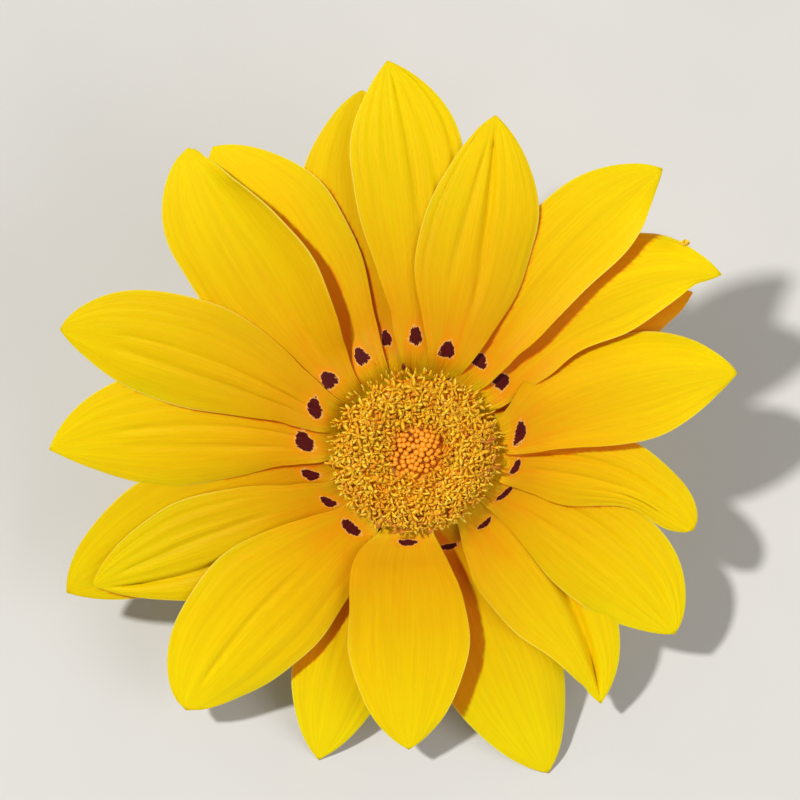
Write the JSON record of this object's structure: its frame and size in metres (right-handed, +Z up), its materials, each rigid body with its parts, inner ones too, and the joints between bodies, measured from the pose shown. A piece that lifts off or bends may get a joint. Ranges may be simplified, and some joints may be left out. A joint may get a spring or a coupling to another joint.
{
  "type": "cut gazania flower",
  "caption": "Yellow daisy-like gazania bloom with spread ray petals, a disc of small florets, a bract cup and a short bare stem, lying on a surface.",
  "frame": {"origin": "centre of the overall box, on the surface that the flower lies on", "axes": "+Z up; +Y along the floor from the face towards the cut end of the stem; the bloom faces up and leans towards -Y"},
  "size_m": [0.083, 0.0879, 0.0507],
  "materials": {
    "petal": "satin bright yellow petal with orange and dark marks at its root",
    "floret": "soft matt yellow",
    "bud": "soft satin orange",
    "bract": "matt green, finely hairy",
    "stem": "matt pale green, finely ribbed"
  },
  "bodies": {
    "root": {"petals": "petal", "disc_florets": "floret", "disc_buds": "bud", "bract_cup": "bract", "stem": "stem"}
  },
  "joints": []
}
